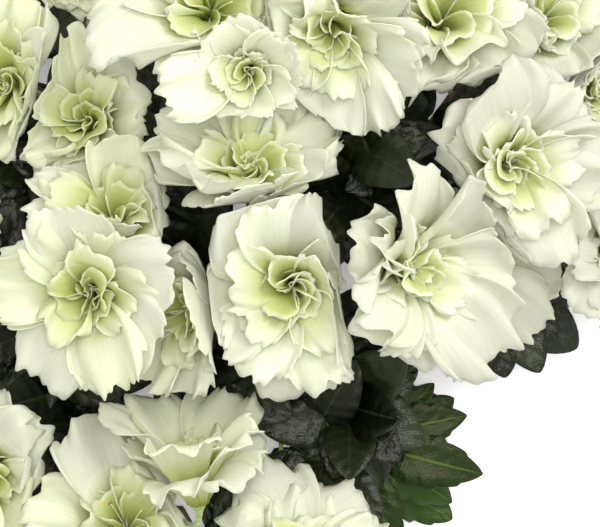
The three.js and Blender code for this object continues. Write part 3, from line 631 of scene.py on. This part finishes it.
def petal_points(flower, petal, across, along):
    """A petal's surface: along runs 0 to 1 from root to rim, across from -1 to 1."""
    ring, folds, root, radius = petal["ring"], petal["folds"], petal["rootOpening"], flower["radius"]
    lobe_depth = SMOOTH_LOBES if petal["smooth"] else FULL_LOBES
    bowed = along * (1 - RIM_ROUNDING * across**2 - lobe_depth * along**4 * lobes_of(folds, across))
    swing = petal["opening"] - root
    opening = root + swing * bowed
    out = ring["rootRadius"] * radius + petal["length"] * (math.cos(root) - np.cos(opening)) / swing
    up = petal["length"] * (np.sin(opening) - math.sin(root)) / swing

    width = petal["halfWidth"] * np.sin(math.pi * between(WIDTH_CURVE, along))
    early = np.clip(along / ROOT_SHARE, 0, 1)
    most = math.pi / ring["petals"] * between(ring["wrap"], early)
    turn = petal["angle"] + most * np.tanh(width * across / (out * most))

    edge = along**2 * (along**2 + across**2 * (1 - along**2))
    wave = rim_waves(petal, across, edge)
    crease = creases_of(folds, radius * ring["crumple"], across, along)
    tuck = radius * ring["tuck"] * early * across
    lift = petal["raised"] * across**2 * along + tuck + petal["ease"] * (petal["ruffle"] * wave + crease)
    flare = math.radians(ring["flare"]) * along**4
    lift = lift - petal["length"] * flare * along * FLARE_DEPTH

    heading = flower["right"] * np.cos(turn)[:, None] + flower["ahead"] * np.sin(turn)[:, None]
    points = flower["base"] + heading * (out - lift * np.cos(opening))[:, None]
    points = points + flower["axis"] * (up + lift * np.sin(opening))[:, None]
    inside = keep_inside(points, flower["walls"])
    return over_floor(points + (inside - points) * early[:, None])


def lime_of(petal, across, along, freshness):
    """How green a petal is, from 0 to about 1. The green is taken off in a band at the rim, a painted
    highlight.
    """
    ring = petal["ring"]
    # The band at the rim is a painted highlight: its green is taken off so that it shows as a pale line.
    rim_highlight = np.clip((np.maximum(along, np.abs(across)) - HIGHLIGHT_RIM_START) / HIGHLIGHT_RIM_WIDTH, 0, 1)
    pale = freshness * (SHADED_SMOOTH_PALE if petal["smooth"] else ring["pale"])
    return pale + ROOT_LIME * np.clip(1 - along / ring["lime"], 0, 1) * (1 - rim_highlight)


def sheet_pattern(across_steps, along_steps):
    """A flat sheet, as corners with x from -1 to 1 and y from 0 to 1, and faces."""
    bm = bmesh.new()
    bmesh.ops.create_grid(bm, x_segments=across_steps, y_segments=along_steps, size=1)
    corners, faces = pattern_of(bm)
    corners[:, 1] = (corners[:, 1] + 1) / 2
    return corners, faces


def thicken(piece, thickness):
    solid = piece.modifiers.new("thickness", "SOLIDIFY")
    solid.thickness = thickness * MM
    solid.offset = 0


def attribute(material, name):
    return add(material, "ShaderNodeAttribute", attribute_name=name).outputs["Fac"]


def mixed(material, factor, first, second, blend="MIX"):
    """Mixes two colours, which are inputs 6 and 7 and output 2 of the node."""
    inputs = {0: factor, 6: first, 7: second}
    return add(material, "ShaderNodeMix", inputs, data_type="RGBA", blend_type=blend).outputs[2]


def petal_material():
    """Fresh petals: soft, matt and faintly see-through, lime at the root, cream above, white at the rim,
    where a band kept free of green is a painted highlight.
    """
    material = new_material("azalea_petal")
    # The lowest stop is a greyer cream, painted shade for the back petals and the long smooth petals; the
    # palest flowers on the right lean towards it too.
    lime = ramp(material, attribute(material, "lime"), [
        (0.0, "#E3E3D4"), (0.1, "#F7F9E9"), (0.35, "#E8ECB8"), (0.66, "#D1DA77"), (0.94, "#A9BB36"),
    ])
    axes = {"X": attribute(material, "across"), "Y": attribute(material, "along")}
    place = add(material, "ShaderNodeCombineXYZ", axes).outputs["Vector"]
    stretched = add(material, "ShaderNodeMapping", {"Vector": place, "Scale": VEIN_STRETCH}).outputs["Vector"]
    veins = noise(material, scale=1, detail=4, place=stretched)
    shade = ramp(material, veins, [(0.3, "#E2E4D0"), (0.55, "#FFFFFF")])
    colour = mixed(material, VEIN_SHADE, lime, shade, blend="MULTIPLY")
    normal = bumped(material, veins, strength=0.25, distance=0.0005)
    front = surface(material, {"Base Color": colour, "Roughness": 0.55, "IOR": 1.4, "Normal": normal})
    through = add(material, "ShaderNodeBsdfTranslucent", {"Color": colour}).outputs["BSDF"]
    both = add(material, "ShaderNodeMixShader", {0: SEE_THROUGH, 1: front, 2: through})
    return finish_material(material, both.outputs["Shader"])


for number, flower in enumerate(FLOWERS, 1):
    set_up(flower, number)
for flower in FLOWERS:
    flower["walls"] = walls_of(flower)

petal_white = petal_material()
outer_pattern = sheet_pattern(across_steps=44, along_steps=10)
heart_pattern = sheet_pattern(across_steps=22, along_steps=8)
petal_shells = []
for flower in FLOWERS:
    outer = petals_of(flower, RINGS, flower["seed"])
    heart = petals_of(flower, HEART_RINGS[: flower["heart"]], flower["seed"] + HEART_SEED)
    back = petals_of(flower, BACK_RINGS, flower["seed"] + BACK_SEED)
    shape_wide_petals(flower, outer)
    give_room(flower, outer + back + heart)
    full_petals = [petal for petal in outer if petal["ring"] is RINGS[0]]
    inner_petals = [petal for petal in outer if petal["ring"] is not RINGS[0]]
    nest(full_petals, back, CLEARANCE)
    nest(inner_petals, full_petals, INNER_CLEARANCE)
    nest(heart, inner_petals, CLEARANCE)
    draw = random_from(flower["seed"] + FOLD_SEED)
    freshness = 1 - flower["face"][0] / FADING_DISTANCE
    for group, (corners, faces), petals in (
        ("petals", outer_pattern, outer + back),
        ("heart", heart_pattern, heart),
    ):
        across, along = corners[:, 0], corners[:, 1] * (1 + ROW_CROWDING - ROW_CROWDING * corners[:, 1])
        for petal in petals:
            petal["folds"] = {name: vary(draw, *span) for name, span in FOLDS.items()}
        points = np.array([petal_points(flower, petal, across, along) for petal in petals])
        lime = [lime_of(petal, across, along, freshness) for petal in petals]
        labels = {"lime": lime, "across": np.tile(across, len(petals)), "along": np.tile(along, len(petals))}
        piece = joined(f"{flower['name']}_{group}", points, faces, labels)
        thicken(piece, PETAL_THICKNESS)
        dress(piece, petal_white, flower["name"])
        petal_shells.append((points, faces))

# Stamens
# In the more open flowers a few slender stamens and a longer pistil stand free, pale green threads that curve
# up out of the throat. Each stamen ends in a tan anther, 1.5 mm long.
OPEN_HEART = 1
STAMENS = 6
STAMEN_LENGTH = 0.62
STAMEN_OPENING = (14, 14)
PISTIL_LENGTH = 0.8
PISTIL_OPENING = 12
THREAD_CHANCE = (0.85, 0.3)
THREAD_CURVE = 0.6
THROAT_RADIUS = 0.02
THREAD_RADII = (0.35, 0.2)
ANTHER_RADII = (0.5, 0.42)
ANTHER_LENGTH = 1.5
ANTHER_BOW = 0.2


def thread_material(name, stops):
    """Soft plant thread: matt, paler in streaks."""
    material = new_material(name)
    colour = ramp(material, noise(material, scale=500, detail=2), stops)
    return finish_material(material, surface(material, {"Base Color": colour, "Roughness": 0.55}))


def stamen_controls(flower, draw, length, opening):
    """A thread that leaves the throat and turns outward."""
    turn = vary(draw, *ANY_ANGLE)
    outward = flower["right"] * math.cos(turn) + flower["ahead"] * math.sin(turn)
    reach = length * flower["radius"] * vary(draw, *THREAD_CHANCE)
    start = flower["base"] + flower["axis"] + outward * THROAT_RADIUS * flower["radius"]
    middle = start + flower["axis"] * reach * THREAD_CURVE
    tip = start + flower["axis"] * reach * math.cos(opening) + outward * reach * math.sin(opening)
    return [start, middle, tip]


def anther_controls(thread):
    """A short bowed bar across the end of a thread."""
    end, ahead = thread[2], unit(thread[2] - thread[1])
    across = unit(np.cross(ahead, UP))
    half = across * ANTHER_LENGTH / 2
    return [end - half, end + ahead * ANTHER_BOW, end + half]


filament_green = thread_material("stamen_filament", [(0.3, "#D3DFA0"), (0.7, "#EDF1D2")])
anther_tan = thread_material("stamen_anther", [(0.3, "#7C6A38"), (0.7, "#B09A5E")])
thread_pattern = tube_pattern(sides=6, steps=10)
anther_pattern = tube_pattern(sides=8, steps=4)
for flower in FLOWERS:
    if flower["heart"] > OPEN_HEART:
        continue
    draw = random_from(flower["seed"] + STAMEN_SEED)
    threads = []
    for _ in range(STAMENS):
        opening = math.radians(vary(draw, *STAMEN_OPENING))
        threads.append(stamen_controls(flower, draw, STAMEN_LENGTH, opening))
    anthers = [anther_controls(thread) for thread in threads]
    threads.append(stamen_controls(flower, draw, PISTIL_LENGTH, math.radians(PISTIL_OPENING)))
    for part, pattern, runs, radii, material in (
        ("stamens", thread_pattern, threads, THREAD_RADII, filament_green),
        ("anthers", anther_pattern, anthers, ANTHER_RADII, anther_tan),
    ):
        points = np.array([tube_points(pattern, run, radii) for run in runs])
        piece = joined(f"{flower['name']}_{part}", points, pattern[1])
        dress(piece, material, flower["name"])

# Stalks
# Each flower stands on a downy, pale green stalk that swells into the little cup its petals grow from.
STALK_RADII = (0.9, 1.3)
STALK_BEND = 0.45
CUP_SWELLING = 2.2
CUP_HEIGHT = 6


def stalk_controls(flower):
    """A stalk's curve from its bough up into the flower's base."""
    foot = bezier(limbs[flower["bough"]], [flower["at"]])[0]
    middle = flower["base"] - flower["axis"] * STALK_BEND * np.linalg.norm(foot - flower["base"])
    middle[2] = max(middle[2], (foot[2] + flower["base"][2]) / 2)
    return [foot, middle, flower["base"]]


def cup(angle, gone, radius):
    """The swelling at the far end that a flower's petals grow from."""
    return CUP_SWELLING * np.clip((gone - gone.max() + CUP_HEIGHT) / CUP_HEIGHT, 0, 1) ** 2


def stalk_material():
    """Downy green stalk: matt, with a sheen, and flecked paler."""
    material = new_material("downy_stalk")
    colour = ramp(material, noise(material, scale=900, detail=3), [(0.3, "#7E9440"), (0.7, "#B4C67C")])
    skin = {"Base Color": colour, "Roughness": 0.6, "Sheen Weight": 0.4}
    return finish_material(material, surface(material, skin))


downy_green = stalk_material()
stalk_pattern = tube_pattern(sides=10, steps=14)
stalks = []
for flower in FLOWERS:
    stalks.append(tube_points(stalk_pattern, stalk_controls(flower), STALK_RADII, cup))
    piece = joined(flower["name"] + "_stalk", stalks[-1][None], stalk_pattern[1])
    dress(piece, downy_green, flower["name"])

# Leafy shoots
# Short twigs crowd their leaves towards the tip. The leaves are leathery and very dark green, with a sheen,
# a sunken midrib and side veins that pucker the blade. The shoot at the lower right has this summer's leaves,
# which are longer, greener and toothed.

# A shoot has its bough, the share of the bough's run where it grows, the way its leader points and rises in
# degrees, the leader's length and a seed.
SHOOTS = {
    "leaves_far_left": ("bough_far_left", 1, 150, -22, 26, 5),
    "leaves_top_left": ("bough_top_left", 1, 215, -12, 24, 15),
    "leaves_left_edge": ("bough_far_left", 0.85, 203, 12, 22, 25),
    "leaves_left": ("bough_left", 1, 200, -8, 22, 35),
    "leaves_inner_left": ("bough_upper_left", 0.55, 110, 24, 14, 45),
    "leaves_upper_left": ("bough_upper_left", 1, 135, 5, 16, 51),
    "leaves_centre": ("main_stem", 0.8, 140, 42, 26, 55),
    "leaves_upper_right": ("main_stem", 0.92, 250, 34, 16, 65),
    "leaves_upper_middle": ("bough_top", 1, 105, 0, 18, 71),
    "leaves_lower_left": ("bough_left", 0.5, 165, 24, 20, 75),
    "leaves_lower_middle": ("bough_far_left", 0.18, 40, 42, 16, 85),
    "leaves_right": ("bough_right", 1, 15, 0, 18, 91),
    "leaves_right_fringe": ("bough_right_fringe", 1, -58, 0, 14, 95),
    "leaves_lower_right": ("bough_bottom_right", 0.8, 25, 30, 20, 105),
    "leaves_bottom": ("bough_bottom", 1, -30, 12, 20, 117),
    "leaves_bottom_right": ("bough_bottom_right", 1, -62, -6, 20, 125),
    "leaves_far_right": ("bough_far_right", 1, -20, -8, 14, 135),
    "leaves_bottom_left": ("bough_lower_left", 1, 190, -12, 20, 145),
    "leaves_stem_side": ("bough_bottom_left", 1, -60, -15, 24, 155),
    "leaves_top": ("main_stem", 1, 55, -18, 24, 165),
}
SUMMER_SHOOT = "leaves_bottom_right"
# A lower tip is a blunter one. many and few are the leaves on a main and on a finer twig.
OLD_LEAVES = {"scale": 1.05, "breadth": 1, "tip": 0.6, "teeth": 0, "many": 12, "few": 6}
SUMMER_LEAVES = {"scale": 1.4, "breadth": 0.76, "tip": 0.8, "teeth": 0.17, "many": 6, "few": 2}
# A forking twig's turn in degrees, and the share of the carrying twig's run where it forks off.
SIDE_TWIGS = ((55, 0.45), (-50, 0.7))
FINER_TWIGS = ((70, 0.4), (-65, 0.65))
SIDE_LENGTH = 0.55
FINER_LENGTH = 0.34
TWIG_ARCH = 0.08
TWIG_RADII = (1.0, 0.5)
FINER_RADII = (0.6, 0.35)
# A leaf's angle from its twig in degrees: the least, the most gained towards the foot and by chance.
LEAST_SPREAD = 30
FOOT_SPREAD = 42
CHANCE_SPREAD = 14
LEAFY_SHARE = 0.72
FLATTENED_DOWN = 0.25
FLATTENED_UP = 0.6
SIZE_CHANCE = (0.82, 0.3)
BEND_CHANCE = (0.5, 1)
LEAF_LENGTH = 32
LEAF_HALF_WIDTH = 9.8
LEAF_DROOP = math.radians(34)
LEAF_FOLD = 0.24
LEAF_THICKNESS = 0.35
ROOT_BLUNTNESS = 0.75
TIP_START = 0.56
TEETH = 5
TEETH_START = 0.3
PUCKERS = 5
PUCKER_SLANT = 0.12
PUCKER_HEIGHT = 0.03
# Only a blade's faces further out than this share of its length have to clear the others.
CLEAR_OF_TWIG = 0.45
# MIDRIB is a share of the blade's half width, VEIN_SLANT one of its length, and VEIN_ROWS radians along it.
MIDRIB = 0.055
VEIN_SLANT = -0.22
VEIN_ROWS = 38
VEIN_DEPTH = 0.2
GRAIN_HEIGHT = 0.7


def twigs_of(foot, aim, pitch, length):
    """The leader and two side twigs, and two finer twigs on each of these three, as curves."""
    rise = math.radians(pitch)

    def arm(turn, reach, start):
        heading = math.radians(aim + turn)
        level = math.cos(rise)
        end = start + reach * np.array([math.cos(heading) * level, math.sin(heading) * level, math.sin(rise)])
        middle = (start + end) / 2 + UP * reach * TWIG_ARCH
        return [start, middle, end]

    leader = arm(0, length, foot)
    carriers = [(leader, 0)]
    for turn, share in SIDE_TWIGS:
        carriers.append((arm(turn, length * SIDE_LENGTH, bezier(leader, [share])[0]), turn))
    finer = []
    for twig, turn in carriers:
        for side, share in FINER_TWIGS:
            finer.append(arm(turn + side, length * FINER_LENGTH, bezier(twig, [share])[0]))
    return [twig for twig, _ in carriers], finer


def leaves_on(twig, first_turn, count, kind, draw):
    """The leaves of one twig, set round it by the golden angle from its tip downwards."""
    leaves = []
    for i in range(count):
        share = 1 - LEAFY_SHARE * i / count
        along = tangent(twig, share)
        side = unit(np.cross(UP, along))
        top = np.cross(along, side)
        turn = GOLDEN_ANGLE * i + first_turn
        radial = side * math.cos(turn) + top * math.sin(turn)
        spread = math.radians(LEAST_SPREAD + FOOT_SPREAD * (1 - share) + CHANCE_SPREAD * draw())
        heading = along * math.cos(spread) + radial * math.sin(spread)
        heading[2] *= FLATTENED_DOWN if heading[2] < 0 else FLATTENED_UP
        heading = unit(heading)
        across = unit(np.cross(heading, UP))
        size = vary(draw, *SIZE_CHANCE) * kind["scale"]
        leaves.append({
            "root": bezier(twig, [share])[0],
            "heading": heading,
            "side": across,
            "up": np.cross(across, heading),
            "length": LEAF_LENGTH * size,
            "halfWidth": LEAF_HALF_WIDTH * size * kind["breadth"] * vary(draw, *WIDTH_CHANCE),
            "bend": vary(draw, *BEND_CHANCE),
            "kind": kind,
        })
    return leaves


def leaf_points(leaf, across, along):
    """A leaf's surface: narrow at its root, widest near its middle, folded up along the midrib."""
    off_midrib = np.abs(across)
    droop = LEAF_DROOP * leaf["bend"]
    out = leaf["length"] * np.sin(droop * along) / droop
    down = leaf["length"] * (1 - np.cos(droop * along)) / droop
    blunt = np.where(along < TIP_START, ROOT_BLUNTNESS, leaf["kind"]["tip"])
    width = leaf["halfWidth"] * np.maximum(np.sin(math.pi * along**0.85), 0) ** blunt
    width = width * (1 - leaf["kind"]["teeth"] * (1 - TEETH * along % 1) * (along > TEETH_START))
    rows = np.cos(2 * math.pi * PUCKERS * (along - PUCKER_SLANT * off_midrib))
    rise = LEAF_FOLD * width * off_midrib**0.8 - down + PUCKER_HEIGHT * width * rows * off_midrib
    points = leaf["root"] + leaf["heading"] * out[:, None] + leaf["up"] * rise[:, None]
    return over_floor(points + leaf["side"] * (width * across)[:, None])


def calculated(material, operation, *values):
    """The result of a Math node on sockets or numbers."""
    return add(material, "ShaderNodeMath", dict(enumerate(values)), operation=operation).outputs[0]


def leaf_material(name, stops, rib, shine, roughness):
    """Leathery evergreen leaf: glossy, with a paler midrib and the net of sunken veins that puckers it."""
    material = new_material(name)
    off_midrib = calculated(material, "ABSOLUTE", attribute(material, "across"))
    midrib = calculated(material, "LESS_THAN", off_midrib, MIDRIB)
    slant = calculated(material, "MULTIPLY_ADD", off_midrib, VEIN_SLANT, attribute(material, "along"))
    side_veins = calculated(material, "COSINE", calculated(material, "MULTIPLY", slant, VEIN_ROWS))
    height = calculated(material, "MULTIPLY", side_veins, VEIN_DEPTH)
    height = calculated(material, "SUBTRACT", height, midrib)
    grain = noise(material, scale=1100, detail=4)
    height = calculated(material, "MULTIPLY_ADD", grain, GRAIN_HEIGHT, height)
    blade = ramp(material, attribute(material, "spray"), stops)
    skin = {
        "Base Color": mixed(material, midrib, blade, linear(rib)),
        "Roughness": roughness,
        "Specular IOR Level": 0.42,
        "Specular Tint": linear(shine),
        "Normal": bumped(material, height, strength=0.6, distance=0.0008),
    }
    return finish_material(material, surface(material, skin))


OLD_GREENS = [(0.0, "#0D1107"), (0.6, "#161C0C"), (1.0, "#262F17")]
SUMMER_GREENS = [(0.0, "#0E2104"), (0.6, "#183007"), (1.0, "#25420C")]
dark_leaf = leaf_material("old_leaf", OLD_GREENS, rib="#272E1B", shine="#F7F6E8", roughness=0.26)
green_leaf = leaf_material("summer_leaf", SUMMER_GREENS, rib="#3F5515", shine="#ECEBBE", roughness=0.36)

leaf_pattern = sheet_pattern(across_steps=4, along_steps=11)
toothed_pattern = sheet_pattern(across_steps=4, along_steps=36)
for corners, _ in (leaf_pattern, toothed_pattern):
    corners[:, 1] = np.sin(math.pi / 2 * corners[:, 1])
twig_pattern = tube_pattern(sides=6, steps=6)


def tree_of(groups):
    """A search tree of the joined copies of some patterns."""
    points, polygons, start = [], [], 0
    for corners, faces in groups:
        for copy in corners:
            points.append(copy)
            polygons.extend([[index + start for index in face] for face in faces])
            start += len(copy)
    return BVHTree.FromPolygons(np.concatenate(points).tolist(), polygons)


def free_blades(leaves, corners, faces, others):
    """The blades of the leaves that cut into no other tree and no earlier leaf of their mass."""
    kept, own = [], None
    for leaf in leaves:
        blade = leaf_points(leaf, corners[:, 0], corners[:, 1])
        tree = tree_of([(blade[None], faces)])
        if not any(wall and tree.overlap(wall) for wall in (*others, own)):
            kept.append(blade)
            own = tree_of([(np.array(kept), faces)])
    return np.array(kept)


petal_tree = tree_of(petal_shells + [(np.array(stalks), stalk_pattern[1])])
grown = []
for name, (bough, at, aim, pitch, length, seed) in SHOOTS.items():
    draw = random_from(seed)
    is_summer = name == SUMMER_SHOOT
    kind = SUMMER_LEAVES if is_summer else OLD_LEAVES
    main_twigs, finer_twigs = twigs_of(bezier(limbs[bough], [at])[0], aim, pitch, length)
    leaves, runs = [], []
    for twigs, radii, first_turn, count in (
        (main_twigs, TWIG_RADII, seed, kind["many"]),
        (finer_twigs, FINER_RADII, seed + 1, kind["few"]),
    ):
        for twig in twigs:
            leaves += leaves_on(twig, first_turn, count, kind, draw)
            runs.append(tube_points(twig_pattern, twig, radii))

    corners, faces = toothed_pattern if is_summer else leaf_pattern
    free_faces = [face for face in faces if corners[face, 1].min() > CLEAR_OF_TWIG]
    blades = free_blades(leaves, corners, free_faces, (petal_tree, tree_of(grown) if grown else None))
    grown.append((blades, free_faces))
    across, along = np.tile(corners[:, :2], (len(blades), 1)).T
    spray = np.repeat([draw() for _ in blades], len(corners))
    piece = joined(name + "_blades", blades, faces, {"across": across, "along": along, "spray": spray})
    thicken(piece, LEAF_THICKNESS)
    dress(piece, green_leaf if is_summer else dark_leaf, name)
    dress(joined(name + "_twigs", np.array(runs), twig_pattern[1]), green_bark, name)

# Floor, light and camera
# A white sweep under soft light from the upper right. The camera looks straight down, and its picture is
# 216 mm wide at the height of the open flowers.
PHOTO_WIDTH = 600
MM_PER_PIXEL = 0.36
FLOWER_HEIGHT = 60 * MM
CAMERA_HEIGHT = 900 * MM
SENSOR = 36.0
FLOOR_HALF_SIDE = 4
FLOOR_GLOW = 0.3
LIT_PLACE = (0, 0, 0.05)
WORLD_LIGHT = 0.83

bm = bmesh.new()
bmesh.ops.create_grid(bm, x_segments=1, y_segments=1, size=FLOOR_HALF_SIDE)
floor_mesh = bpy.data.meshes.new("floor")
bm.to_mesh(floor_mesh)
bm.free()
floor = new_object("floor", floor_mesh)
white_floor = new_material("white_sweep")
floor_skin = {
    "Base Color": linear("#FFFFFF"),
    "Roughness": 0.9,
    "Emission Color": linear("#FFFFFF"),
    "Emission Strength": FLOOR_GLOW,
}
finish_material(white_floor, surface(white_floor, floor_skin))
floor.data.materials.append(white_floor)


def area_light(name, place, size, power):
    """A round soft light that shines on the branch."""
    light = bpy.data.lights.new(name, "AREA")
    light.shape = "DISK"
    light.size = size
    light.energy = power
    lamp = new_object(name, light)
    lamp.location = place
    lamp.rotation_euler = (Vector(LIT_PLACE) - Vector(place)).to_track_quat("-Z", "Y").to_euler()


area_light("key", place=(0.6, 0.5, 0.75), size=0.5, power=5.55)
area_light("overhead", place=(0.05, 0.1, 1.3), size=0.5, power=7.9)
world = bpy.data.worlds.new("studio")
world.use_nodes = True
background = world.node_tree.nodes["Background"].inputs
background["Color"].default_value = linear("#FFFFFF")
background["Strength"].default_value = WORLD_LIGHT
bpy.context.scene.world = world
bpy.context.scene.view_settings.view_transform = "Standard"

camera_data = bpy.data.cameras.new("camera")
camera_data.sensor_width = SENSOR
camera_data.lens = SENSOR * CAMERA_HEIGHT / (PHOTO_WIDTH * MM_PER_PIXEL * MM)
camera = new_object("camera", camera_data)
camera.location = (-BOX_CENTRE[0] * MM, -BOX_CENTRE[1] * MM, FLOWER_HEIGHT + CAMERA_HEIGHT)
bpy.context.scene.camera = camera
